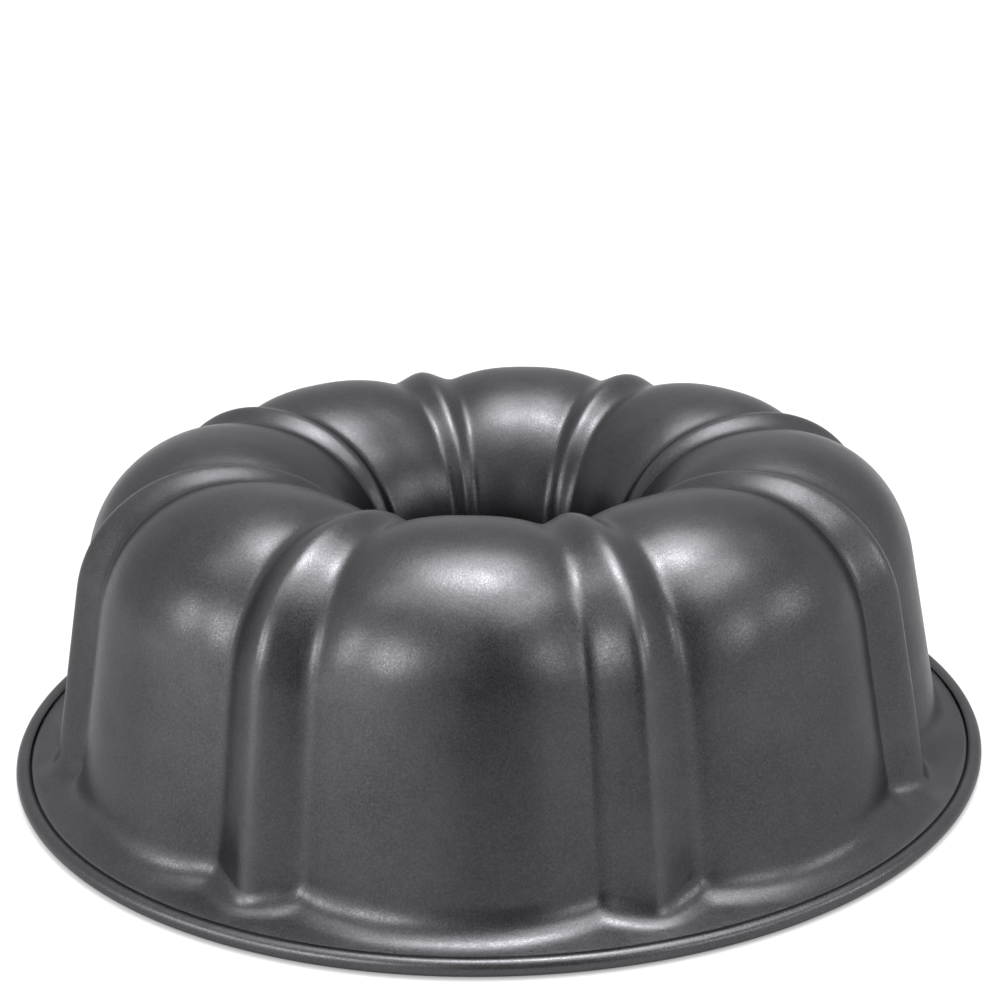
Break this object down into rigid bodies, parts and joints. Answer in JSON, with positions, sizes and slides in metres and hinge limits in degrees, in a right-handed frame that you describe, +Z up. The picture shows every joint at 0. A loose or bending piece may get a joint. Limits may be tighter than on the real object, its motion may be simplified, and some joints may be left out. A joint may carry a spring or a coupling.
{
  "type": "fluted ring mould",
  "caption": "Fluted ring cake mould in dark coated sheet steel, with cushion lobes between roof-shaped ribs, a rolled wired rim and an open centre tube.",
  "frame": {"origin": "centre of the rim plane, level with the flat land under the rolled rim that the mould stands on when it is upside down", "axes": "+Z up the centre tube's axis towards the crown, +X through one of the ribs"},
  "size_m": [0.26, 0.26, 0.0807],
  "materials": {
    "coated_sheet": "satin dark grey non-stick coating with a fine metallic speckle",
    "coated_tube": "satin dark grey non-stick coating",
    "wire_steel": "drawn bright steel"
  },
  "bodies": {
    "root": {"fluted_body": "coated_sheet", "centre_tube": "coated_tube", "rim_wire": "wire_steel"}
  },
  "joints": []
}
